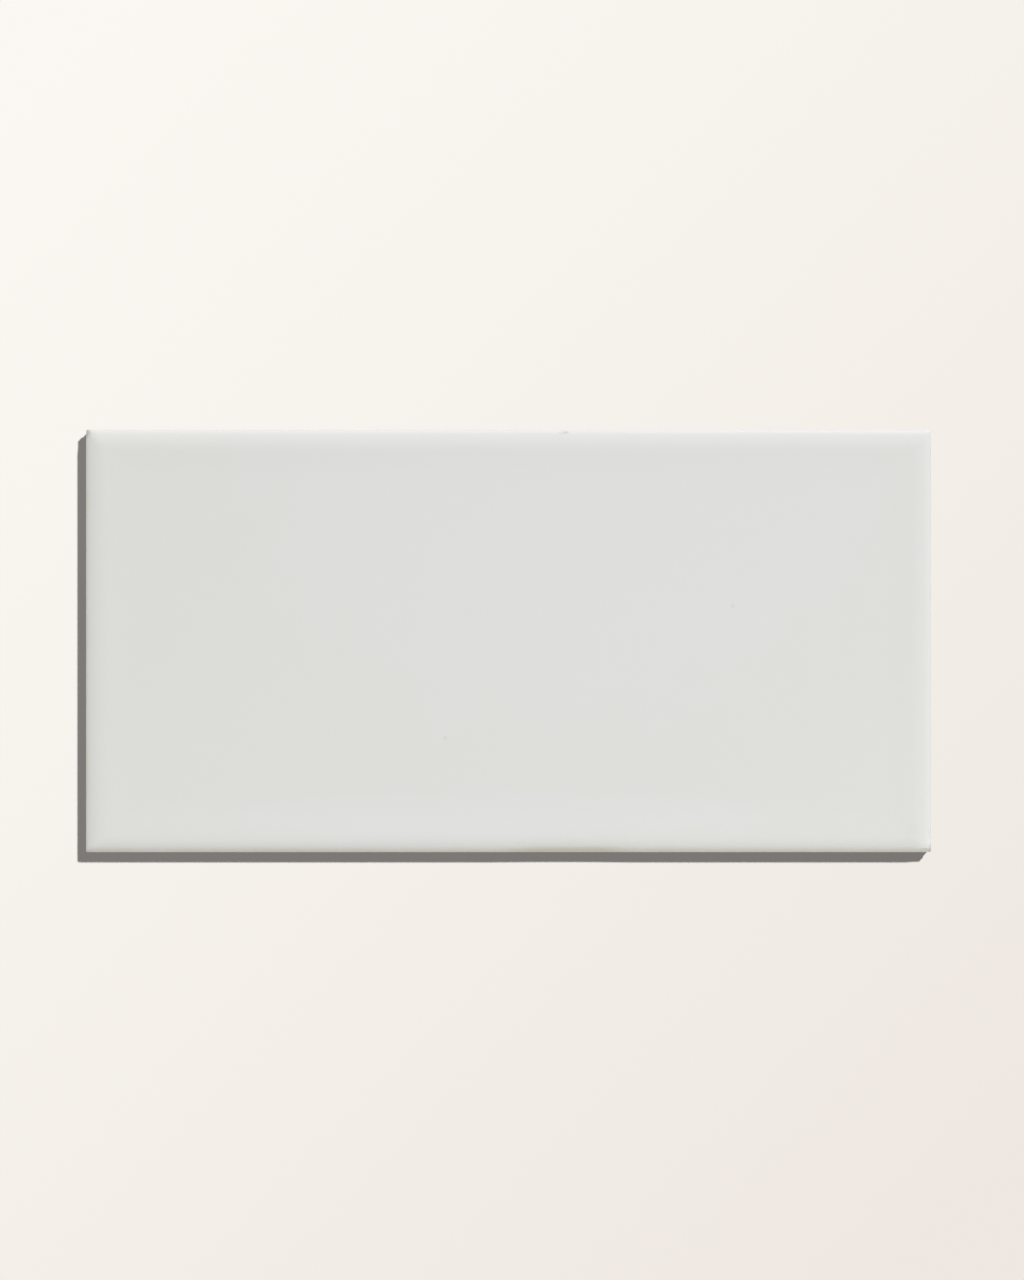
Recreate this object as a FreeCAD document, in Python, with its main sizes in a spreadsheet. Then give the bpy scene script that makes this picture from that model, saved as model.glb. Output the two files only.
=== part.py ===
import FreeCAD, Part
import math
import os
import Sketcher

# Subway wall tile: one dry-pressed, glazed earthenware tile, lying on its back.
# The face is flat inside a cushion edge that rolls down to the four sides, and
# the rolls meet in a mitre at each corner. The back has a plain rim round a grid
# of shallow drafted pockets that key the adhesive.
#
# Frame: origin at the middle of the back, +X along the tile, +Y across it,
# +Z up through the glazed face. Millimetres and degrees.

SIZES = {
    # the 6 in by 3 in module, five sixteenths of an inch thick
    "tile_length": 152.4,
    "tile_width": 76.2,
    "tile_thickness": 8.0,
    # the upright corners
    "corner_radius": 0.5,
    # the cushion edge, a quarter ellipse as wide and as deep as this
    "roll_width": 4.0,
    "roll_drop": 1.25,
    # the bevel between the sides and the back
    "back_bevel": 0.5,
    # the back: the least rim, and square pockets with ribs between them
    "back_rim": 8.0,
    "rib_width": 3.0,
    "pocket_side": 12.0,
    "pocket_corner_radius": 1.5,
    "pocket_depth": 0.8,
    "pocket_draft": 30.0,
}

# the pitch of the pockets, and how many fit between the rims each way
PITCH = "(sizes.pocket_side + sizes.rib_width)"
COLUMNS = f"floor((sizes.tile_length - 2 * sizes.back_rim + sizes.rib_width) / {PITCH})"
ROWS = f"floor((sizes.tile_width - 2 * sizes.back_rim + sizes.rib_width) / {PITCH})"

# how far a cutting profile reaches past the surface that it cuts
OVERSHOOT = 1.0

# sketch vertices by number, a sketch's own origin, and its normal
START, END, CENTRE = 1, 2, 3
ORIGIN = (-1, 1)
NORMAL = FreeCAD.Vector(0, 0, 1)

doc = FreeCAD.newDocument("SubwayWallTile")


def make_sheet():
    """The driving dimensions, one aliased cell each."""
    sheet = doc.addObject("Spreadsheet::Sheet", "sizes")
    for row, (alias, value) in enumerate(SIZES.items(), start=1):
        sheet.set(f"A{row}", alias.replace("_", " "))
        sheet.set(f"B{row}", str(value))
        sheet.setAlias(f"B{row}", alias)
    doc.recompute()


def origin_feature(body, role):
    """One of the body's own origin planes or axes, as a link."""
    feature = next(o for o in body.Origin.OriginFeatures if o.Role == role)
    return (feature, [""])


def new_sketch(body, name, plane_role):
    """A sketch on one of the body's origin planes."""
    sketch = body.newObject("Sketcher::SketchObject", name)
    sketch.AttachmentSupport = origin_feature(body, plane_role)
    sketch.MapMode = "FlatFace"
    return sketch


def constrain(sketch, kind, *references):
    """A geometric constraint, or a dimension that keeps its value."""
    return sketch.addConstraint(Sketcher.Constraint(kind, *references))


def bind(sketch, kind, *references, to):
    """A dimension that follows an expression on the sheet."""
    index = constrain(sketch, kind, *references, sketch.evalExpression(to))
    sketch.setExpression(f"Constraints[{index}]", to)


def level_and_plumb(sketch, level, plumb):
    """Keeps lines parallel to the sketch's two axes."""
    for line in level:
        constrain(sketch, "Horizontal", line)
    for line in plumb:
        constrain(sketch, "Vertical", line)


def add_lines(sketch, *points):
    """Lines from point to point, joined end to start."""
    vectors = [FreeCAD.Vector(x, y, 0) for x, y in points]
    lines = [sketch.addGeometry(Part.LineSegment(a, b)) for a, b in zip(vectors, vectors[1:])]
    for one, following in zip(lines, lines[1:]):
        constrain(sketch, "Coincident", one, END, following, START)
    return lines


def recompute_cut(feature, volume_before):
    """Recomputes, stops the build at a cut that removes nothing, and gives the volume left."""
    doc.recompute()
    volume = feature.Shape.Volume
    if volume >= volume_before:
        raise RuntimeError(f"{feature.Name} removed nothing")
    return volume


def add_slab(body):
    """The pressed slab, with its four upright corners rounded."""
    x, y = SIZES["tile_length"] / 2, SIZES["tile_width"] / 2
    outline = new_sketch(body, "slab_outline", "XY_Plane")
    front, right, back, left = add_lines(outline, (-x, -y), (x, -y), (x, y), (-x, y), (-x, -y))
    constrain(outline, "Coincident", left, END, front, START)
    level_and_plumb(outline, level=(front, back), plumb=(right, left))
    constrain(outline, "Symmetric", front, START, right, END, *ORIGIN)
    bind(outline, "DistanceX", front, START, front, END, to="sizes.tile_length")
    bind(outline, "DistanceY", right, START, right, END, to="sizes.tile_width")

    slab = body.newObject("PartDesign::Pad", "slab")
    slab.Profile = outline
    slab.setExpression("Length", "sizes.tile_thickness")
    doc.recompute()

    corners = body.newObject("PartDesign::Fillet", "upright_corners")
    edges = enumerate(slab.Shape.Edges, start=1)
    upright = [f"Edge{i}" for i, e in edges if math.isclose(e.BoundBox.ZLength, e.Length)]
    corners.Base = (slab, upright)
    corners.setExpression("Radius", "sizes.corner_radius")
    doc.recompute()


def draw_roll(profile, across):
    """The region above the quarter ellipse that leads from the side to the face."""
    rim, top = SIZES[across] / 2, SIZES["tile_thickness"]
    width, drop = SIZES["roll_width"], SIZES["roll_drop"]
    shoulder, rim_height = rim - width, top - drop
    ellipse = Part.Ellipse(FreeCAD.Vector(shoulder, rim_height, 0), width, drop)
    roll = profile.addGeometry(Part.ArcOfEllipse(ellipse, 0, math.pi / 2))
    profile.exposeInternalGeometry(roll)
    long_axis, short_axis = roll + 1, roll + 2
    under, outer, over, inner = add_lines(
        profile,
        (rim, rim_height),
        (rim + OVERSHOOT, rim_height),
        (rim + OVERSHOOT, top + OVERSHOOT),
        (shoulder, top + OVERSHOOT),
        (shoulder, top),
    )
    constrain(profile, "Coincident", roll, START, under, START)
    constrain(profile, "Coincident", inner, END, roll, END)
    level_and_plumb(profile, level=(long_axis, under, over), plumb=(outer, inner))
    constrain(profile, "Horizontal", roll, CENTRE, roll, START)
    constrain(profile, "Vertical", roll, CENTRE, roll, END)
    constrain(profile, "DistanceX", under, START, under, END, OVERSHOOT)
    constrain(profile, "DistanceY", inner, END, inner, START, OVERSHOOT)
    bind(profile, "Distance", long_axis, to="2 * sizes.roll_width")
    bind(profile, "Distance", short_axis, to="2 * sizes.roll_drop")
    bind(profile, "DistanceX", *ORIGIN, roll, START, to=f"sizes.{across} / 2")
    bind(profile, "DistanceY", *ORIGIN, roll, END, to="sizes.tile_thickness")


def draw_bevel(profile, across):
    """The triangle outside the bevel that leads from the side to the back."""
    outside = SIZES[across] / 2 + OVERSHOOT
    leg = SIZES["back_bevel"] + 2 * OVERSHOOT
    slope, outer, under = add_lines(
        profile,
        (outside - leg, -OVERSHOOT),
        (outside, leg - OVERSHOOT),
        (outside, -OVERSHOOT),
        (outside - leg, -OVERSHOOT),
    )
    constrain(profile, "Coincident", under, END, slope, START)
    level_and_plumb(profile, level=(under,), plumb=(outer,))
    constrain(profile, "Equal", outer, under)
    constrain(profile, "DistanceY", outer, END, *ORIGIN, OVERSHOOT)
    bind(profile, "DistanceX", *ORIGIN, outer, END, to=f"sizes.{across} / 2 + {OVERSHOOT}")
    bind(profile, "DistanceY", outer, END, outer, START, to=f"sizes.back_bevel + {2 * OVERSHOOT}")


def shape_edges(body, name, profile_plane, mirror_plane, across):
    """Cuts the roll and the back bevel along one edge, and along the edge opposite.

    The profile stands across the edges and the mirror lies halfway between them;
    across is the sheet's name for the distance from one edge to the other.
    """
    profile = new_sketch(body, f"{name}_profile", profile_plane)
    draw_roll(profile, across)
    draw_bevel(profile, across)

    volume = body.Tip.Shape.Volume
    cut = body.newObject("PartDesign::Pocket", name)
    cut.Profile = profile
    cut.Type = "ThroughAll"
    cut.SideType = "Symmetric"
    volume = recompute_cut(cut, volume)

    opposite = body.newObject("PartDesign::Mirrored", f"{name}_opposite")
    opposite.Originals = [cut]
    opposite.MirrorPlane = origin_feature(body, mirror_plane)
    body.Tip = opposite
    recompute_cut(opposite, volume)


def draw_pocket(outline):
    """The rounded square of the first pocket, in the corner where the grid starts."""
    half, radius = SIZES["pocket_side"] / 2, SIZES["pocket_corner_radius"]
    inset = SIZES["back_rim"] + half
    middle = FreeCAD.Vector(inset - SIZES["tile_length"] / 2, inset - SIZES["tile_width"] / 2, 0)
    sides, corners = [], []
    for quarter in range(4):
        turned = FreeCAD.Placement(middle, FreeCAD.Rotation(NORMAL, 90 * quarter))
        ends = [turned * FreeCAD.Vector(x, -half, 0) for x in (radius - half, half - radius)]
        sides.append(outline.addGeometry(Part.LineSegment(*ends)))
        circle = Part.Circle(turned * FreeCAD.Vector(half - radius, radius - half, 0), NORMAL, radius)
        arc = Part.ArcOfCircle(circle, math.radians(90 * (quarter - 1)), math.radians(90 * quarter))
        corners.append(outline.addGeometry(arc))

    for side, corner, next_side in zip(sides, corners, sides[1:] + sides[:1]):
        constrain(outline, "Tangent", side, END, corner, START)
        constrain(outline, "Tangent", corner, END, next_side, START)
    for corner in corners[1:]:
        constrain(outline, "Equal", corners[0], corner)
    front, right, back, left = sides
    level_and_plumb(outline, level=(front, back), plumb=(right, left))
    constrain(outline, "Equal", front, right)
    bind(outline, "Radius", corners[0], to="sizes.pocket_corner_radius")
    bind(outline, "DistanceX", left, START, right, START, to="sizes.pocket_side")
    bind(outline, "DistanceX", left, START, *ORIGIN, to=f"({COLUMNS} * {PITCH} - sizes.rib_width) / 2")
    bind(outline, "DistanceY", front, START, *ORIGIN, to=f"({ROWS} * {PITCH} - sizes.rib_width) / 2")


def key_back(body):
    """Presses the grid of pockets into the back, centred on it."""
    outline = new_sketch(body, "pocket_outline", "XY_Plane")
    draw_pocket(outline)

    volume = body.Tip.Shape.Volume
    pocket = body.newObject("PartDesign::Pocket", "back_pocket")
    pocket.Profile = outline
    pocket.Reversed = True
    pocket.setExpression("Length", "sizes.pocket_depth")
    pocket.setExpression("TaperAngle", "-sizes.pocket_draft")
    volume = recompute_cut(pocket, volume)

    grid = body.newObject("PartDesign::LinearPattern", "back_pockets")
    grid.Originals = [pocket]
    grid.Direction = origin_feature(body, "X_Axis")
    grid.Direction2 = origin_feature(body, "Y_Axis")
    grid.Mode = grid.Mode2 = "Spacing"
    # a spacing of -1 stands for the offset
    grid.Spacings = grid.Spacings2 = [-1]
    for suffix, count in (("", COLUMNS), ("2", ROWS)):
        grid.setExpression(f"Offset{suffix}", PITCH)
        grid.setExpression(f"Occurrences{suffix}", count)
    body.Tip = grid
    recompute_cut(grid, volume)


def make_tile():
    """The whole tile, pressed and fired in one piece."""
    body = doc.addObject("PartDesign::Body", "tile")
    add_slab(body)
    shape_edges(body, "long_edges", "YZ_Plane", "XZ_Plane", "tile_width")
    shape_edges(body, "short_edges", "XZ_Plane", "YZ_Plane", "tile_length")
    key_back(body)


def check_objects():
    """Stops the build at an object that failed, or at a body that isn't one good solid."""
    failed = [o.Name for o in doc.Objects if {"Invalid", "Error"} & set(o.State)]
    if failed:
        raise RuntimeError(f"failed objects: {failed}")
    for body in doc.findObjects("PartDesign::Body"):
        shape = body.Shape
        if shape.isNull() or not shape.isValid() or len(shape.Solids) != 1:
            raise RuntimeError(f"{body.Label} isn't one valid solid")


def export_parts():
    """Writes each body to a file that its label names."""
    os.makedirs("parts", exist_ok=True)
    for body in doc.findObjects("PartDesign::Body"):
        body.Shape.exportStep(f"parts/{body.Label}.step")


make_sheet()
make_tile()
check_objects()
export_parts()
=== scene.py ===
import math
from collections import namedtuple

import bmesh
import bpy
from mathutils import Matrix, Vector, noise


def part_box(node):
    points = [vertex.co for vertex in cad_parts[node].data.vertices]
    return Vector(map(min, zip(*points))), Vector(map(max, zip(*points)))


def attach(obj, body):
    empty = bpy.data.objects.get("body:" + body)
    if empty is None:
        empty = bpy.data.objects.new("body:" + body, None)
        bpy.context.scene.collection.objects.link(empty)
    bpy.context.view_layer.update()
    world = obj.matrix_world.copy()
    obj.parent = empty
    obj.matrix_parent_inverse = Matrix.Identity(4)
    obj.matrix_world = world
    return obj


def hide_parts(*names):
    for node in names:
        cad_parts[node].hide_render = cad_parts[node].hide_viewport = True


# A pressed clay wall tile under a white gloss glaze. The glaze is full on the face,
# thins over the rolled edges and ends in an uneven line on the sides, where the bare
# clay shows. The mesh is in metres, written as so many MM. Finishes are in mm, and the
# floor, lamps and camera in metres.

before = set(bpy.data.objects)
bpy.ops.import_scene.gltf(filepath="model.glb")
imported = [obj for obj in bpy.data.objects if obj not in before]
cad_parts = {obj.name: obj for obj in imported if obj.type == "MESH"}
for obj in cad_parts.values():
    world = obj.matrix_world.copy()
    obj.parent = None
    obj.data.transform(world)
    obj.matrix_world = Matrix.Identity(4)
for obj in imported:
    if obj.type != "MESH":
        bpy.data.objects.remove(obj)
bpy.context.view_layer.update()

# the tile lies on the floor with the middle of its back at the origin
MM = 0.001
HALF_LENGTH, HALF_WIDTH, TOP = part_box("tile")[1]

# the photograph's frame in pixels, and where the tile lies in it
IMAGE_WIDTH, IMAGE_HEIGHT = 1024, 1280
TILE_LEFT, TILE_RIGHT = 86.15, 930.85
TILE_MIDDLE_ROW = 640.9
PIXEL = 2 * HALF_LENGTH / (TILE_RIGHT - TILE_LEFT)

# the rolled edges, of which the left one is the widest
ROLL_WIDTH = 4.0 * MM
RIGHT_ROLL, UPPER_ROLL, LOWER_ROLL = 3.7 * MM, 3.6 * MM, 3.0 * MM
ROLL_DROP = 1.25 * MM

# how round a roll is: 2 is a quarter ellipse, and more keeps it fuller
ROLL_ROUNDNESS, LOWER_ROUNDNESS = 2.0, 2.6

# how far a roll's inner line wanders, as a share of its width, and over what length
ROLL_WANDER, ROLL_WANDER_LENGTH = 0.1, 22 * MM

# how sharply two rolls meet at a corner
MITRE_SHARPNESS = 3.2

# the upper left and lower right corners, near which one roll leans over the other
CORNER_LEAN = 0.4
CORNER_LEAN_START, CORNER_LEAN_END = 0.9 * MM, 2.6 * MM

# the upright corners and the edge of the back
CORNER_RADIUS = 0.22 * MM
BACK_BEVEL = 0.5 * MM

# the face, dished inside the rolls and a little wavy
DISH_DEPTH = 0.11 * MM
DISH_START, DISH_END = 2.6 * MM, 8.0 * MM
FACE_WAVES, FACE_WAVE_LENGTH = 0.012 * MM, 17 * MM

# the coat of glaze, and the uneven line where it ends on the sides
GLAZE_THICKNESS = 0.15 * MM
GLAZE_LINE = 3.6 * MM
GLAZE_LINE_WANDER, GLAZE_LINE_LENGTH = 1.3 * MM, 16 * MM
GLAZE_LINE_RIPPLE, GLAZE_LINE_RIPPLE_LENGTH = 0.4, 4 * MM
GLAZE_LIP = 0.35 * MM

# the share of the glaze that is left at the rims, and how far in they are thinned; the lower
# shares on the left and lower rims are also painted shade there
RIM_GLAZE, RIM_THINNING = 0.85, 1.4 * MM
LEFT_RIM_GLAZE_AND_SHADE, LEFT_RIM_THINNING = 0.62, 1.45 * MM
LOWER_RIM_GLAZE_AND_SHADE, LOWER_RIM_THINNING = 0.53, 2.1 * MM
RIM_RIPPLE, RIM_RIPPLE_LENGTH = 0.08, 6 * MM

# the further thinning round the two leaning corners, which also paints shade there
CORNER_THINNING_AND_SHADE = 0.2
CORNER_REACH = 1.7 * MM

# the stretch of the lower edge where the glaze ran thin, and how far the edge sank there
THIN_MIDDLE = 11.5 * MM
THIN_REACH, THINNEST_SHARE = 14.0 * MM, 0.25
THIN_GLAZE = 0.24
THIN_SINKING, THIN_SINKING_REACH = 0.24 * MM, 5.5 * MM

# the height on the side below which the glaze of that stretch has gathered again
GATHERED_BELOW = 4.6 * MM

# small pits in the glaze: place on the face, half sizes, depth, and how much darker they are
# coloured
Pit = namedtuple("Pit", "x y half_x half_y depth darkness")
NICK = Pit(10.38 * MM, 37.6 * MM, 0.6 * MM, 0.28 * MM, 0.03 * MM, 0.15)
NICK_TAIL = Pit(9.8 * MM, 37.54 * MM, 0.95 * MM, 0.34 * MM, 0.02 * MM, 0.1)
PINHOLES = (
    Pit(-11.4 * MM, -17.5 * MM, 0.4 * MM, 0.4 * MM, 0.02 * MM, 0.09),
    Pit(40.4 * MM, 6.3 * MM, 0.44 * MM, 0.5 * MM, 0.02 * MM, 0.08),
    Pit(-76.0 * MM, 7.7 * MM, 0.3 * MM, 0.35 * MM, 0.01 * MM, 0.05),
)
PITS = (NICK, NICK_TAIL) + PINHOLES

# a pit's profile and the low lip round it, at so many half sizes from the middle
PIT_FLOOR, PIT_EDGE = 0.2, 1.1
PIT_LIP_FOOT, PIT_LIP_CREST, PIT_LIP_END = 0.9, 1.3, 2.2

# the lip's height as a share of the pit's depth
PIT_LIP_SHARE = 0.2

# the back: its least rim, and square pockets with ribs between them
BACK_RIM = 8.0 * MM
RIB_WIDTH = 3.0 * MM
POCKET_SIDE = 12.0 * MM
POCKET_PITCH = POCKET_SIDE + RIB_WIDTH
POCKET_DEPTH = 0.8 * MM
POCKET_DRAFT = math.radians(30)
POCKET_CORNER_RADIUS, POCKET_CORNER_STEPS = 1.45 * MM, 4
POCKET_LIP, POCKET_LIP_STEPS = 0.15 * MM, 2

# the mesh: steps up the roll, spacing on the face, rings round the sides
ROLL_STEPS = 14
FACE_SPACING = 0.8 * MM
SIDE_RINGS = 18

# how finely the face is divided round a pit, and over how many half sizes
PIT_CUTS, PIT_REACH = 5, 2.0

# the angle above which an edge is sharp, and a distance that counts as none
SHARP_ANGLE = math.radians(35)
HAIR = 0.001 * MM

# layers of noise, one for each thing that wanders by itself
WAVES_LAYER = 5
RIGHT_LAYER, LEFT_LAYER, UPPER_LAYER, LOWER_LAYER = 10, 20, 30, 40
RIM_LAYER, LINE_LAYER, LINE_RIPPLE_LAYER = 50, 60, 70

# keeps noise on a line off the points of its lattice, where it is always 0
OFF_LATTICE = 0.37


def ease(low, high, value):
    """0 below low, 1 above high and an S between them."""
    share = min(max((value - low) / (high - low), 0), 1)
    return share * share * (3 - 2 * share)


def wander(along, length, layer):
    """Smooth noise from -1 to 1 on a line, which changes over about a length."""
    return noise.noise(Vector((along / length, OFF_LATTICE, layer)))


def ripple(point, length, layer):
    """Smooth noise from -1 to 1 in space, which changes over about a length."""
    return noise.noise(point / length + Vector((0, 0, layer)))


def grid_place(share, half, face_steps):
    """Where a line of an even grid goes, so that its steps turn evenly round the roll."""
    steps_in = (1 - abs(share)) * (ROLL_STEPS + face_steps)
    if steps_in < ROLL_STEPS:
        inset = ROLL_WIDTH * (1 - math.cos(steps_in / ROLL_STEPS * math.pi / 2))
    else:
        inset = ROLL_WIDTH + (steps_in - ROLL_STEPS) / face_steps * (half - ROLL_WIDTH)
    return math.copysign(half - inset, share)


def flat_sheet():
    """The face as a flat sheet of quads, packed closer towards its edges."""
    long_steps = round((HALF_LENGTH - ROLL_WIDTH) / FACE_SPACING)
    wide_steps = round((HALF_WIDTH - ROLL_WIDTH) / FACE_SPACING)
    sheet = bmesh.new()
    bmesh.ops.create_grid(
        sheet,
        x_segments=2 * (ROLL_STEPS + long_steps),
        y_segments=2 * (ROLL_STEPS + wide_steps),
        size=1,
    )
    for vert in sheet.verts:
        vert.co.x = grid_place(vert.co.x, HALF_LENGTH, long_steps)
        vert.co.y = grid_place(vert.co.y, HALF_WIDTH, wide_steps)
    return sheet


def near_pit(point):
    """True where a pit or its lip may reach the quad round a point."""
    margin = FACE_SPACING / 2
    return any(
        abs(point.x - pit.x) < PIT_REACH * pit.half_x + margin
        and abs(point.y - pit.y) < PIT_REACH * pit.half_y + margin
        for pit in PITS
    )


def touches_pit(edge):
    """True for a side of a quad that a pit may reach."""
    return any(near_pit(face.calc_center_median()) for face in edge.link_faces)


def divide_near_pits(sheet):
    """Divides the quads round the pits finely, and splits those beside them to fit."""
    near = [edge for edge in sheet.edges if touches_pit(edge)]
    bmesh.ops.subdivide_edges(sheet, edges=near, cuts=PIT_CUTS, use_grid_fill=True)
    borders = [face for face in sheet.faces if len(face.verts) > 4]
    bmesh.ops.poke(sheet, faces=borders, center_mode="BOUNDS")


def edge_drop(inset, along, width, layer, roundness=ROLL_ROUNDNESS):
    """How far one rolled edge has fallen at an inset from its rim."""
    width *= 1 + ROLL_WANDER * wander(along, ROLL_WANDER_LENGTH, layer)
    if inset >= width:
        return 0
    return ROLL_DROP * (1 - math.sqrt(1 - (1 - inset / width) ** roundness))


def from_leaning_corner(point):
    """The distance in plan from the upper left or the lower right corner."""
    upper_left = math.hypot(HALF_LENGTH + point.x, HALF_WIDTH - point.y)
    lower_right = math.hypot(HALF_LENGTH - point.x, HALF_WIDTH + point.y)
    return min(upper_left, lower_right)


def roll_drop(point, inset_x, inset_y):
    """How far the face has fallen over a point of the rolls and their mitres."""
    if point.x > 0:
        drop_x = edge_drop(inset_x, point.y, RIGHT_ROLL, RIGHT_LAYER)
    else:
        drop_x = edge_drop(inset_x, point.y, ROLL_WIDTH, LEFT_LAYER)
    if point.y > 0:
        drop_y = edge_drop(inset_y, point.x, UPPER_ROLL, UPPER_LAYER)
    else:
        drop_y = edge_drop(inset_y, point.x, LOWER_ROLL, LOWER_LAYER, LOWER_ROUNDNESS)
    nearness = 1 - ease(CORNER_LEAN_START, CORNER_LEAN_END, from_leaning_corner(point))
    lean = math.copysign(CORNER_LEAN * nearness, point.y)
    drop_x *= 1 + lean
    drop_y *= 1 - lean
    return (drop_x**MITRE_SHARPNESS + drop_y**MITRE_SHARPNESS) ** (1 / MITRE_SHARPNESS)


def thin_stretch(along):
    """1 over the thinnest share of the lower edge's thin stretch, falling to 0 round it."""
    return 1 - ease(THINNEST_SHARE, 1, abs(along - THIN_MIDDLE) / THIN_REACH)


def pit_depth(point, pit):
    """How deep a pit is under a point, and below 0 on the lip of glaze round it."""
    offset = math.hypot((point.x - pit.x) / pit.half_x, (point.y - pit.y) / pit.half_y)
    hollow = 1 - ease(PIT_FLOOR, PIT_EDGE, offset)
    rising = ease(PIT_LIP_FOOT, PIT_LIP_CREST, offset)
    falling = ease(PIT_LIP_CREST, PIT_LIP_END, offset)
    return pit.depth * (hollow - PIT_LIP_SHARE * rising * (1 - falling))


def face_height(point):
    """The height of the glazed face over a point of the plan."""
    inset_x = max(HALF_LENGTH - abs(point.x), 0)
    inset_y = max(HALF_WIDTH - abs(point.y), 0)
    inset = min(inset_x, inset_y)
    drop = roll_drop(point, inset_x, inset_y)
    dish = DISH_DEPTH * ease(DISH_START, DISH_END, inset)
    waves = FACE_WAVES * (1 + ripple(point, FACE_WAVE_LENGTH, WAVES_LAYER))
    waves *= ease(0, ROLL_WIDTH, inset)
    nearness = max(1 - (point.y + HALF_WIDTH) / THIN_SINKING_REACH, 0)
    sunk = THIN_SINKING * thin_stretch(point.x) * nearness**3
    pits = sum(pit_depth(point, pit) for pit in PITS)
    return TOP - drop - dish - waves - sunk - pits


def round_corner(vert):
    """Pulls the square corner of the plan in to a quarter circle."""
    beyond_x = (abs(vert.co.x) - HALF_LENGTH) / CORNER_RADIUS + 1
    beyond_y = (abs(vert.co.y) - HALF_WIDTH) / CORNER_RADIUS + 1
    if beyond_x <= 0 or beyond_y <= 0:
        return
    round_x = beyond_x * math.sqrt(1 - beyond_y**2 / 2)
    round_y = beyond_y * math.sqrt(1 - beyond_x**2 / 2)
    vert.co.x = math.copysign(HALF_LENGTH + CORNER_RADIUS * (round_x - 1), vert.co.x)
    vert.co.y = math.copysign(HALF_WIDTH + CORNER_RADIUS * (round_y - 1), vert.co.y)


def press_face(sheet):
    """Gives the flat sheet its dished face, rolled edges, pits and rounded corners."""
    for vert in sheet.verts:
        vert.co.z = face_height(vert.co)
    for vert in sheet.verts:
        round_corner(vert)


def draw_ring(body, rim, fraction, inset):
    """Extrudes the rim once more, a share of the way down to the back's bevel."""
    made = bmesh.ops.extrude_edge_only(body, edges=rim)["geom"]
    low = BACK_BEVEL - inset
    for vert in made:
        if isinstance(vert, bmesh.types.BMVert):
            vert.co.z += (low - vert.co.z) * fraction
            vert.co.x = math.copysign(min(abs(vert.co.x), HALF_LENGTH - inset), vert.co.x)
            vert.co.y = math.copysign(min(abs(vert.co.y), HALF_WIDTH - inset), vert.co.y)
    return [part for part in made if isinstance(part, bmesh.types.BMEdge)]


def add_sides(body):
    """Carries the rim down in rings to a small bevel round the back."""
    rim = [edge for edge in body.edges if edge.is_boundary]
    for rings_left in range(SIDE_RINGS, 0, -1):
        rim = draw_ring(body, rim, 1 / rings_left, 0)
    draw_ring(body, rim, 1, BACK_BEVEL)
    bmesh.ops.remove_doubles(body, verts=body.verts, dist=HAIR)


def pocket_middles(half):
    """The middles of a row of pockets that leaves the least rim at both ends."""
    count = int((2 * half - 2 * BACK_RIM + RIB_WIDTH) / POCKET_PITCH)
    return [POCKET_PITCH * (place - (count - 1) / 2) for place in range(count)]


def add_back(body):
    """Closes the back and cuts it along the sides of the pockets."""
    rim = [edge for edge in body.edges if edge.is_boundary]
    plate = bmesh.ops.contextual_create(body, geom=rim)["faces"]
    bmesh.ops.recalc_face_normals(body, faces=body.faces)
    cut = plate + [edge for face in plate for edge in face.edges]
    cut += [vert for face in plate for vert in face.verts]
    for across, half in ((Vector((1, 0, 0)), HALF_LENGTH), (Vector((0, 1, 0)), HALF_WIDTH)):
        for middle in pocket_middles(half):
            for side in (-POCKET_SIDE / 2, POCKET_SIDE / 2):
                cut = bmesh.ops.bisect_plane(
                    body, geom=cut, plane_co=across * (middle + side), plane_no=across
                )["geom"]
    return [part for part in cut if isinstance(part, bmesh.types.BMFace)]


def in_pocket(point):
    """True on one of the squares that are pressed into the back, or on its outline."""
    near_x = min(abs(point.x - middle) for middle in pocket_middles(HALF_LENGTH))
    near_y = min(abs(point.y - middle) for middle in pocket_middles(HALF_WIDTH))
    return max(near_x, near_y) < POCKET_SIDE / 2 + HAIR


def is_slant(edge):
    """True for an edge that runs down a corner of a pocket."""
    first, second = (vert.co for vert in edge.verts)
    return abs(first.z - second.z) > POCKET_DEPTH / 2 and in_pocket((first + second) / 2)


def is_lip(edge):
    """True for an edge between the back's flat and a pocket's wall."""
    first, second = (vert.co for vert in edge.verts)
    if max(first.z, second.z) > HAIR or not in_pocket((first + second) / 2):
        return False
    return edge.calc_face_angle() > SHARP_ANGLE


def round_edges(body, wanted, radius, steps, clamp):
    """Bevels the edges that are wanted into an arc."""
    bmesh.ops.bevel(
        body,
        geom=[edge for edge in body.edges if wanted(edge)],
        offset=radius,
        offset_type="OFFSET",
        segments=steps,
        profile=0.5,
        affect="EDGES",
        material=-1,
        clamp_overlap=clamp,
    )


def press_pockets(body, cells):
    """Sinks the pockets with slanted walls, rounds their corners and eases their lips."""
    bmesh.ops.inset_individual(
        body,
        faces=[face for face in cells if in_pocket(face.calc_center_median())],
        thickness=POCKET_DEPTH * math.tan(POCKET_DRAFT),
        depth=-POCKET_DEPTH,
        use_even_offset=True,
    )
    round_edges(body, is_slant, POCKET_CORNER_RADIUS, POCKET_CORNER_STEPS, clamp=True)
    round_edges(body, is_lip, POCKET_LIP, POCKET_LIP_STEPS, clamp=False)


def thinned(inset, rim_glaze, reach):
    """The share of the glaze at an inset from a rim, falling towards the rim."""
    return rim_glaze + (1 - rim_glaze) * ease(0, reach, inset)


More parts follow.
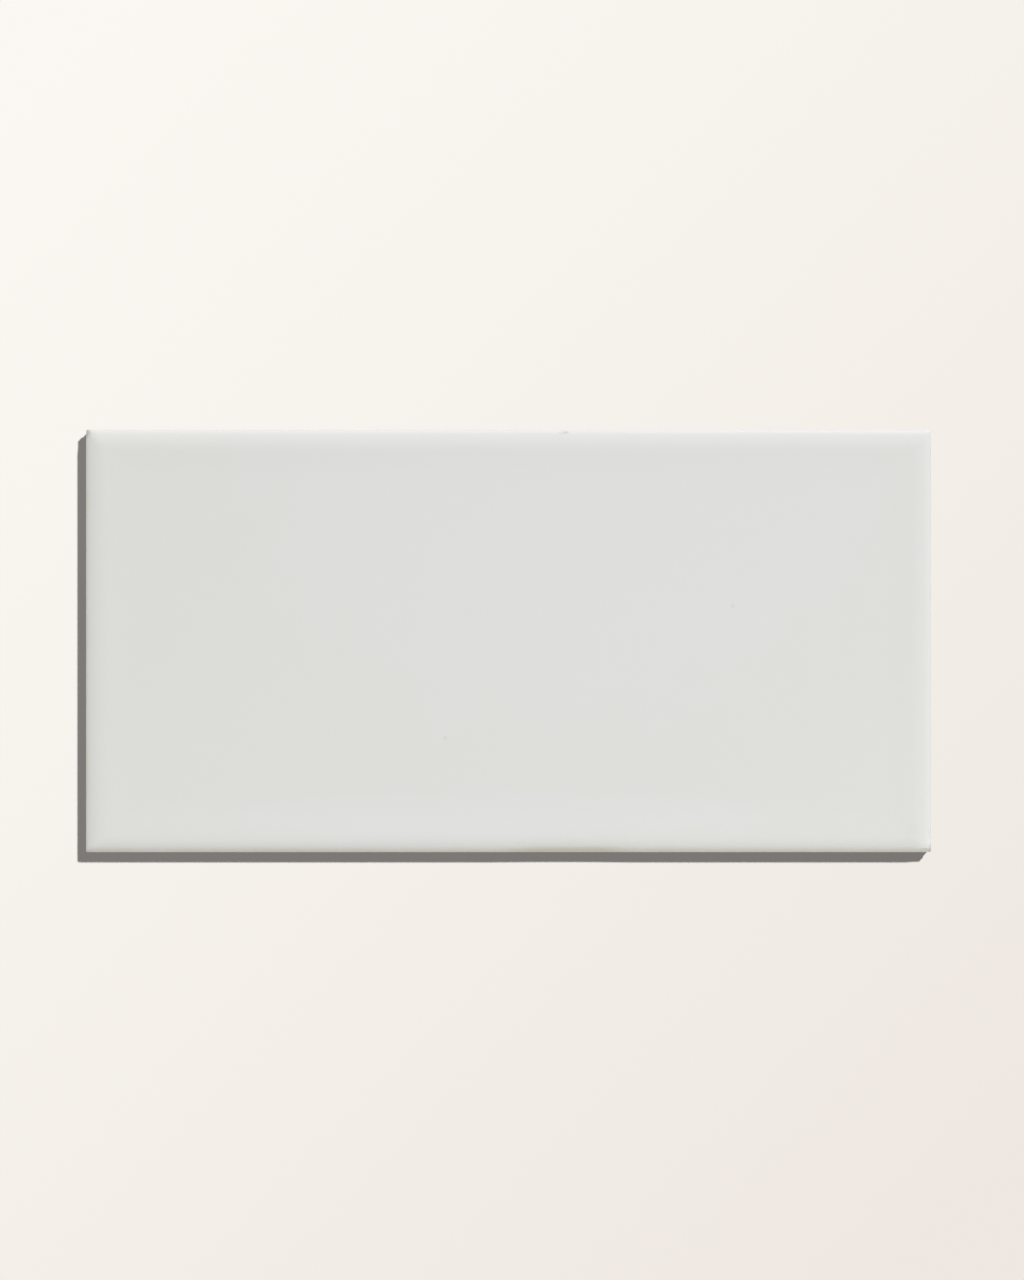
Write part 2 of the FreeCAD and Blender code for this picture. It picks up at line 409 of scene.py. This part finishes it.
def rim_glaze_and_shade(point):
    """How much of the glaze is left on the rolled edges: less on the left and lower rims and at
    two corners, where it is also painted shade.
    """
    to_right, to_upper = HALF_LENGTH - point.x, HALF_WIDTH - point.y
    to_left, to_lower = HALF_LENGTH + point.x, HALF_WIDTH + point.y
    rim_height = TOP - ROLL_DROP - THIN_SINKING
    ran_off = thin_stretch(point.x) * ease(GATHERED_BELOW, rim_height, point.z)
    lower_glaze_and_shade = LOWER_RIM_GLAZE_AND_SHADE + (THIN_GLAZE - LOWER_RIM_GLAZE_AND_SHADE) * ran_off
    share = min(
        thinned(min(to_right, to_upper), RIM_GLAZE, RIM_THINNING),
        thinned(to_left, LEFT_RIM_GLAZE_AND_SHADE, LEFT_RIM_THINNING),
        thinned(to_lower, lower_glaze_and_shade, LOWER_RIM_THINNING),
    )
    share *= 1 - CORNER_THINNING_AND_SHADE * (1 - ease(0, CORNER_REACH, from_leaning_corner(point)))
    nearness = 1 - ease(0, RIM_THINNING, min(to_left, to_lower))
    return share + RIM_RIPPLE * ripple(point, RIM_RIPPLE_LENGTH, RIM_LAYER) * nearness


def coat_share(point):
    """How much of the coat there is on the sides, from 0 below the glaze line to 1."""
    if point.z < BACK_BEVEL:
        return 0
    sway = ripple(point, GLAZE_LINE_LENGTH, LINE_LAYER)
    sway += GLAZE_LINE_RIPPLE * ripple(point, GLAZE_LINE_RIPPLE_LENGTH, LINE_RIPPLE_LAYER)
    line = GLAZE_LINE + GLAZE_LINE_WANDER * sway
    return ease(-GLAZE_LIP, GLAZE_LIP, point.z - line)


def dip_in_glaze(body):
    """Records the glaze's thickness, and draws the surface in where it has no coat."""
    thickness = body.verts.layers.float.new("glaze")
    body.normal_update()
    for vert in body.verts:
        coat = coat_share(vert.co)
        # the recorded share is lower on the left and lower rims and two corners, partly as
        # painted shade
        vert[thickness] = coat * rim_glaze_and_shade(vert.co)
        if vert.co.z > BACK_BEVEL - HAIR:
            vert.co -= vert.normal * GLAZE_THICKNESS * (1 - coat)


def finish_mesh(body, name):
    """Turns a bmesh into an object, smooth but for its sharp edges."""
    bmesh.ops.recalc_face_normals(body, faces=body.faces)
    for face in body.faces:
        face.smooth = True
    for edge in body.edges:
        edge.smooth = edge.calc_face_angle(0) < SHARP_ANGLE
    mesh = bpy.data.meshes.new(name)
    body.to_mesh(mesh)
    body.free()
    piece = bpy.data.objects.new(name, mesh)
    bpy.context.scene.collection.objects.link(piece)
    return piece


def make_tile():
    """The whole tile as one closed piece."""
    body = flat_sheet()
    divide_near_pits(body)
    press_face(body)
    add_sides(body)
    cells = add_back(body)
    press_pockets(body, cells)
    dip_in_glaze(body)
    return finish_mesh(body, "glazed_tile")


class Signal:
    """A socket's output, a number or a colour. Operators on a number add Math nodes."""

    def __init__(self, finish, socket):
        self.finish = finish
        self.socket = socket

    def maths(self, operation, first, second):
        return self.finish.add("Math", {"operation": operation}, {0: first, 1: second})

    def __add__(self, other):
        return self.maths("ADD", self, other)

    def __mul__(self, other):
        return self.maths("MULTIPLY", self, other)

    def __sub__(self, other):
        return self.maths("SUBTRACT", self, other)

    def __rsub__(self, other):
        return self.maths("SUBTRACT", other, self)

    __radd__ = __add__
    __rmul__ = __mul__


class Finish:
    """The nodes of one material, or of the world."""

    def __init__(self, owner):
        owner.use_nodes = True
        self.tree = owner.node_tree
        self.tree.nodes.clear()

    def add(self, kind, settings=None, inputs=None, output=0):
        """Adds a node: its settings first, then values or links into its sockets."""
        node = self.tree.nodes.new("ShaderNode" + kind)
        for name, value in (settings or {}).items():
            setattr(node, name, value)
        for socket, value in (inputs or {}).items():
            if isinstance(value, Signal):
                self.tree.links.new(value.socket, node.inputs[socket])
            else:
                node.inputs[socket].default_value = value
        return Signal(self, node.outputs[output]) if node.outputs else None

    def place(self):
        """The place on the piece, in mm."""
        place = self.add("TexCoord", output="Object")
        return self.add("VectorMath", {"operation": "SCALE"}, {"Vector": place, "Scale": 1 / MM})

    def coordinate(self, place, axis):
        """One coordinate of a place."""
        return self.add("SeparateXYZ", inputs={"Vector": place}, output=axis)

    def step(self, value, low, high):
        """0 below low, 1 above high and an S between them."""
        limits = {"Value": value, "From Min": low, "From Max": high}
        return self.add("MapRange", {"interpolation_type": "SMOOTHSTEP"}, limits)

    def mix(self, share, first, second):
        """A colour between two."""
        return self.add("Mix", {"data_type": "RGBA"}, {0: share, 6: first, 7: second}, output=2)

    def clouds(self, place, size, detail):
        """Noise from 0 to 1 in patches of about a size."""
        return self.add("TexNoise", inputs={"Vector": place, "Scale": 1 / size, "Detail": detail})

    def unevenness(self, place, size, detail, amount):
        """The same noise spread over an amount, with its middle at 0."""
        return (self.clouds(place, size, detail) - 0.5) * amount

    def patches(self, place, size, detail, low, high):
        """1 in the patches where that noise is above high, 0 where it is below low."""
        return self.step(self.clouds(place, size, detail), low, high)

    def spot(self, place, middle, half_sizes):
        """1 inside an oval, falling to 0 round it."""
        from_middle = self.add("VectorMath", {"operation": "SUBTRACT"}, {0: place, 1: middle})
        shares = self.add("VectorMath", {"operation": "DIVIDE"}, {0: from_middle, 1: half_sizes})
        distance = self.add("VectorMath", {"operation": "LENGTH"}, {0: shares}, output="Value")
        return 1 - self.step(distance, SPOT_FULL, SPOT_END)


def colour(red, green, blue):
    """A colour with its alpha."""
    return (red, green, blue, 1)


# where an oval spot starts to fade and where it ends, as shares of its half sizes
SPOT_FULL, SPOT_END = 0.5, 1.2

# half heights of spots on the face, in mm: one that fades down the sides, one that doesn't
MARK_REACH, THROUGH = 9, 999

# the noise in the finishes: unevenness is a size in mm, a detail and an amount, and
# patches are a size, a detail, and the two values between which they fade in

# the glaze, and the shares of its thickness between which it comes to cover the clay
GLAZE_ROUGHNESS, GLAZE_INDEX = 0.1, 1.5
GLAZE_COVERS = 0.08, 0.2
GLAZE_RAGGEDNESS = 0.7, 3, 0.16

# greenish white glaze, neutral in two ovals on the face, in patches and along two rims
GLAZE_GREENISH = colour(0.693, 0.700, 0.666)
GLAZE_NEUTRAL = colour(0.7025, 0.702, 0.689)
NEUTRAL_OVALS = (
    ((12, 36, 8), (66, 58, THROUGH)),
    ((-4, -31.6, 8), (62, 4.8, THROUGH)),
)
NEUTRAL_UNEVENNESS = 9, 3, 1.2
NEUTRAL_RIGHT, NEUTRAL_UPPER = (74.4, 76.0), (36.8, 37.9)

# painted highlight: paler glaze colour along the right rim and, more and more to the right, the
# upper
GLAZE_PAINTED_HIGHLIGHT = colour(0.742, 0.742, 0.732)
HIGHLIGHT_RIGHT, HIGHLIGHT_UPPER = (75.8, 76.2), (37.0, 38.0)
HIGHLIGHT_STRETCH = -76, 76

# the brownish glaze where it is thin, also used as painted shade on the left and lower rims
GLAZE_THIN_AND_SHADE = colour(0.575, 0.53, 0.41)
THIN_SHARES, THIN_STRENGTH = (0.25, 0.8), 0.8

# the bare clay, buff with paler patches, sand and specks
CLAY_ROUGHNESS = 0.85
CLAY_BUFF, CLAY_PALE = colour(0.62, 0.50, 0.37), colour(0.70, 0.60, 0.48)
PALE_PATCHES = 5, 4, 0.35, 0.65
CLAY_SAND, SAND_STRENGTH = colour(0.50, 0.38, 0.26), 0.22
SAND_PATCHES = 0.5, 3, 0.4, 0.75
CLAY_SPECK, SPECK_STRENGTH = colour(0.38, 0.27, 0.18), 0.6
SPECK_PATCHES = 0.45, 2, 0.66, 0.73

# the kiln wash that sticks to the flat of the back
KILN_WASH, WASH_STRENGTH = colour(0.72, 0.67, 0.59), 0.7
WASH_PATCHES = 4, 5, 0.3, 0.7
WASH_HEIGHTS = 0.05, 0.2

# darker colour in the pits, and painted shade on the ends of the short edges at two corners
PIT_DARK_AND_CORNER_SHADE = colour(0.17, 0.168, 0.14)
SHADED_CORNERS = (-76.2, 37.4), (76.2, -37.3)
CORNER_SHADE_SIZES = (0.45, 1.1, MARK_REACH)
CORNER_SHADE_DARKNESS = 0.25

# the faint pink smudge near the lower right corner
SMUDGE, SMUDGE_STRENGTH = colour(0.69, 0.62, 0.59), 0.3
SMUDGE_MIDDLE, SMUDGE_SIZES = (72.6, -34.6, 7.9), (1.5, 2.0, MARK_REACH)
SMUDGE_PATCHES = 0.9, 2, 0.3, 0.7

# the relief, as unevenness whose amount is a height in mm
GLAZE_RELIEF = (2.4, 2, 0.006), (11, 2, 0.02)
CLAY_RELIEF = (0.3, 5, 0.1), (1.4, 3, 0.12)


def glaze_shade(finish, place, thickness):
    """White, greenish in patches, with a painted highlight along two rims, brownish where it is
    thin, and with painted shade on the left and lower rims.
    """
    along = finish.coordinate(place, "X")
    across = finish.coordinate(place, "Y")
    neutral = sum(finish.spot(place, middle, sizes) for middle, sizes in NEUTRAL_OVALS)
    neutral += finish.step(along, *NEUTRAL_RIGHT) + finish.step(across, *NEUTRAL_UPPER)
    neutral += finish.unevenness(place, *NEUTRAL_UNEVENNESS)
    shade = finish.mix(finish.step(neutral, 0, 1), GLAZE_GREENISH, GLAZE_NEUTRAL)
    # painted highlight: the upper and right rims coloured paler
    painted_highlight = finish.step(across, *HIGHLIGHT_UPPER) * finish.step(along, *HIGHLIGHT_STRETCH)
    painted_highlight += finish.step(along, *HIGHLIGHT_RIGHT)
    shade = finish.mix(painted_highlight, shade, GLAZE_PAINTED_HIGHLIGHT)
    # brownish where the glaze is thin, and painted shade on the left and lower rims and two
    # corners
    thin = 1 - finish.step(thickness, *THIN_SHARES)
    return finish.mix(thin * THIN_STRENGTH, shade, GLAZE_THIN_AND_SHADE)


def clay_shade(finish, place):
    """Buff with paler patches, sand and specks, and kiln wash on the flat of the back."""
    shade = finish.mix(finish.patches(place, *PALE_PATCHES), CLAY_BUFF, CLAY_PALE)
    sand = finish.patches(place, *SAND_PATCHES)
    shade = finish.mix(sand * SAND_STRENGTH, shade, CLAY_SAND)
    specks = finish.patches(place, *SPECK_PATCHES)
    shade = finish.mix(specks * SPECK_STRENGTH, shade, CLAY_SPECK)
    above_back = finish.step(finish.coordinate(place, "Z"), *WASH_HEIGHTS)
    wash = (1 - above_back) * finish.patches(place, *WASH_PATCHES)
    return finish.mix(wash * WASH_STRENGTH, shade, KILN_WASH)


def pit_darkening_and_corner_shade(finish, place):
    """How much darker each pit is coloured, and the painted shade on two corners, fading out at
    its edge.
    """
    darkening_and_shade = 0
    for pit in PITS:
        middle = (pit.x / MM, pit.y / MM, TOP / MM)
        sizes = (pit.half_x / MM, pit.half_y / MM, MARK_REACH)
        darkening_and_shade += finish.spot(place, middle, sizes) * pit.darkness
    for x, y in SHADED_CORNERS:
        middle = (x, y, TOP / MM)
        darkening_and_shade += finish.spot(place, middle, CORNER_SHADE_SIZES) * CORNER_SHADE_DARKNESS
    return darkening_and_shade


def glaze_and_clay_relief(finish, place, glazed):
    """Slow waves in the glaze, and grain in the bare clay."""
    waves = sum(finish.unevenness(place, *wave) for wave in GLAZE_RELIEF)
    grain = sum(finish.unevenness(place, *wave) for wave in CLAY_RELIEF)
    height = waves * glazed + grain * (1 - glazed)
    return finish.add("Bump", inputs={"Height": height, "Distance": MM, "Strength": 1})


def white_glaze_finish():
    """White gloss glaze over buff clay, with the clay bare below the glaze line."""
    material = bpy.data.materials.new("white_gloss_glaze_on_buff_clay")
    finish = Finish(material)
    place = finish.place()
    thickness = finish.add("Attribute", {"attribute_name": "glaze"}, output="Fac")
    thickness += finish.unevenness(place, *GLAZE_RAGGEDNESS)
    glazed = finish.step(thickness, *GLAZE_COVERS)

    shade = finish.mix(glazed, clay_shade(finish, place), glaze_shade(finish, place, thickness))
    # darker pits, and painted shade on the upper left and lower right corners
    shade = finish.mix(pit_darkening_and_corner_shade(finish, place), shade, PIT_DARK_AND_CORNER_SHADE)
    smudge = finish.spot(place, SMUDGE_MIDDLE, SMUDGE_SIZES)
    smudge *= finish.patches(place, *SMUDGE_PATCHES)
    shade = finish.mix(smudge * SMUDGE_STRENGTH, shade, SMUDGE)

    shader = finish.add(
        "BsdfPrincipled",
        inputs={
            "Base Color": shade,
            "Roughness": CLAY_ROUGHNESS + glazed * (GLAZE_ROUGHNESS - CLAY_ROUGHNESS),
            "Normal": glaze_and_clay_relief(finish, place, glazed),
            "IOR": GLAZE_INDEX,
        },
    )
    finish.add("OutputMaterial", inputs={"Surface": shader})
    return material


# the floor
FLOOR_HALF = 6.0
FLOOR_UPPER_LEFT = colour(0.961, 0.936, 0.893)
FLOOR_LOWER_RIGHT = colour(0.860, 0.804, 0.758)

# the diagonal along which its shade fades, and where, in mm from the middle
FLOOR_FADE_TOWARDS = (math.sqrt(0.5), -math.sqrt(0.5), 0)
FLOOR_FADE_START, FLOOR_FADE_END = -131, 128


def add_floor():
    """A plain pale floor, whose colour warms and deepens towards the lower right."""
    sheet = bmesh.new()
    bmesh.ops.create_grid(sheet, x_segments=1, y_segments=1, size=FLOOR_HALF)
    floor = finish_mesh(sheet, "floor")
    material = bpy.data.materials.new("pale_floor")
    finish = Finish(material)
    along = finish.add(
        "VectorMath",
        {"operation": "DOT_PRODUCT"},
        {0: finish.place(), 1: FLOOR_FADE_TOWARDS},
        output="Value",
    )
    limits = {"Value": along, "From Min": FLOOR_FADE_START, "From Max": FLOOR_FADE_END}
    fade = finish.add("MapRange", inputs=limits)
    shade = finish.mix(fade, FLOOR_UPPER_LEFT, FLOOR_LOWER_RIGHT)
    shader = finish.add(
        "BsdfPrincipled", inputs={"Base Color": shade, "Roughness": 1, "Specular IOR Level": 0}
    )
    finish.add("OutputMaterial", inputs={"Surface": shader})
    floor.data.materials.append(material)
    return floor


# the world: how strongly it lights, and its colours as light and as backdrop
WORLD_STRENGTH = 0.22
WORLD_LIGHT = colour(1, 1, 1)
WORLD_SEEN = colour(0.95, 0.94, 0.92)


def light_world():
    """A dim even sky, which camera and mirror rays see as a pale backdrop."""
    world = bpy.data.worlds.new("pale_backdrop")
    bpy.context.scene.world = world
    finish = Finish(world)
    seen = finish.add("LightPath", output="Is Camera Ray")
    seen += finish.add("LightPath", output="Is Glossy Ray")
    seen = finish.add("Clamp", inputs={"Value": seen})
    strength = WORLD_STRENGTH + seen * (1 - WORLD_STRENGTH)
    shade = finish.mix(seen, WORLD_LIGHT, WORLD_SEEN)
    sky = finish.add("Background", inputs={"Color": shade, "Strength": strength})
    finish.add("OutputWorld", inputs={"Surface": sky})


# how far the rim's shadow falls to the left and below on the floor
SHADOW_LEFT, SHADOW_BELOW = 1.86 * MM, 2.0 * MM
SHADOW_SOFTNESS = math.radians(2.6)

# lamps by the share of full light that they give, and their width in the sky
FLOOR_SHARE = 0.78
DOME_SHARE, DOME_WIDTH = 0.26, math.radians(150)
KEY_SHARE, KEY_WIDTH = 0.69, math.radians(90)
KEY_TOWARDS = (0.112, 0.532, 0.414)

# a near lamp at the lower right
FILL_TOWARDS = (0.5, -0.5, 0.6)
FILL_DISTANCE, FILL_SIZE, FILL_POWER = 0.7, 0.4, 1.08

# soft cards low beside the tile, mirrored in its right and upper edges
CARD_DISTANCE, CARD_SIZE = 1.0, 2.4
RIGHT_CARD_TOWARDS, RIGHT_CARD_POWER = (1, 0.15, 0.1), 3.3
UPPER_CARD_TOWARDS, UPPER_CARD_POWER = (0.1, 1, -0.15), 2.2

# softboxes that lean over the tile, mirrored in its face from low angles
SOFTBOX_BEARINGS = -52, 137
SOFTBOX_DISTANCE, SOFTBOX_HEIGHT = 0.5, 0.22
SOFTBOX_SIZE, SOFTBOX_POWER = (0.26, 0.42), 0.27
SOFTBOX_LEAN = math.radians(60)

# how widely the cards and softboxes shine
MIRRORED_SPREAD = math.radians(100)


def lit_only(lamp, piece):
    """Makes a lamp shine on one piece alone."""
    group = bpy.data.collections.new("lit_by_" + lamp.name)
    group.objects.link(piece)
    lamp.light_linking.receiver_collection = group


def add_lamp(name, kind, strength, towards, distance, piece):
    """A lamp in a direction from the tile, turned to it, which lights one piece."""
    data = bpy.data.lights.new(name, kind)
    data.energy = strength
    lamp = bpy.data.objects.new(name, data)
    direction = Vector(towards).normalized()
    lamp.location = direction * distance
    lamp.rotation_euler = direction.to_track_quat("Z", "Y").to_euler()
    lamp.visible_camera = False
    lamp.visible_glossy = False
    bpy.context.scene.collection.objects.link(lamp)
    lit_only(lamp, piece)
    return lamp


def add_sky_lamp(name, share, width, towards, piece):
    """A lamp far away, some angle wide, that gives a share of full light."""
    lamp = add_lamp(name, "SUN", math.pi * share, towards, 1, piece)
    lamp.data.angle = width


def add_mirrored(name, power, towards, distance, piece):
    """An area lamp with a soft edge that shows only in the gloss of one piece."""
    lamp = add_lamp(name, "AREA", power, towards, distance, piece)
    lamp.data.spread = MIRRORED_SPREAD
    lamp.visible_diffuse = False
    lamp.visible_glossy = True
    return lamp


def add_card(name, power, towards, piece):
    """A large round card."""
    card = add_mirrored(name, power, towards, CARD_DISTANCE, piece)
    card.data.shape = "DISK"
    card.data.size = CARD_SIZE


def add_softbox(degrees, piece):
    """A softbox at a bearing, brighter towards its top."""
    bearing = math.radians(degrees)
    place = Vector((math.cos(bearing), math.sin(bearing), 0)) * SOFTBOX_DISTANCE
    place.z = SOFTBOX_HEIGHT
    box = add_mirrored(f"softbox_{degrees}", SOFTBOX_POWER, place, place.length, piece)
    box.rotation_euler = (math.pi / 2 - SOFTBOX_LEAN, 0, bearing + math.pi / 2)
    box.data.shape = "RECTANGLE"
    box.data.size, box.data.size_y = SOFTBOX_SIZE


def add_lamps(tile, floor):
    """One lamp throws the tile's shadow on the floor, and soft ones light the glaze."""
    caster = Vector((SHADOW_LEFT, SHADOW_BELOW, TOP - ROLL_DROP)).normalized()
    add_sky_lamp("shadow_lamp", FLOOR_SHARE / caster.z, SHADOW_SOFTNESS, caster, floor)
    add_sky_lamp("overhead_diffuser", DOME_SHARE, DOME_WIDTH, (0, 0, 1), tile)
    add_sky_lamp("side_diffuser", KEY_SHARE, KEY_WIDTH, KEY_TOWARDS, tile)
    fill = add_lamp("near_softbox", "AREA", FILL_POWER, FILL_TOWARDS, FILL_DISTANCE, tile)
    fill.data.size = FILL_SIZE
    add_card("right_card", RIGHT_CARD_POWER, RIGHT_CARD_TOWARDS, tile)
    add_card("upper_card", UPPER_CARD_POWER, UPPER_CARD_TOWARDS, tile)
    for degrees in SOFTBOX_BEARINGS:
        add_softbox(degrees, tile)


# the camera: a long lens and its sensor in mm, and how far it sees in metres
LENS, SENSOR = 300.0, 36.0
CAMERA_SIGHT = 50


def add_camera():
    """Looks straight down, framed as the photograph is."""
    data = bpy.data.cameras.new("camera")
    data.lens = LENS
    data.sensor_width = SENSOR
    data.sensor_fit = "AUTO"
    data.clip_end = CAMERA_SIGHT
    camera = bpy.data.objects.new("camera", data)
    right = (IMAGE_WIDTH - TILE_LEFT - TILE_RIGHT) / 2 * PIXEL
    up = (TILE_MIDDLE_ROW - IMAGE_HEIGHT / 2) * PIXEL
    height = IMAGE_HEIGHT * PIXEL * LENS / SENSOR + TOP - ROLL_DROP
    camera.location = (right, up, height)
    bpy.context.scene.collection.objects.link(camera)
    bpy.context.scene.camera = camera


add_camera()
tile = make_tile()
tile.data.materials.append(white_glaze_finish())
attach(tile, "root")
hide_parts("tile")

# the tile bounces no light on the floor, which would put a halo round it
tile.visible_diffuse = False

floor = add_floor()
light_world()
add_lamps(tile, floor)

bpy.context.scene.view_settings.view_transform = "Standard"
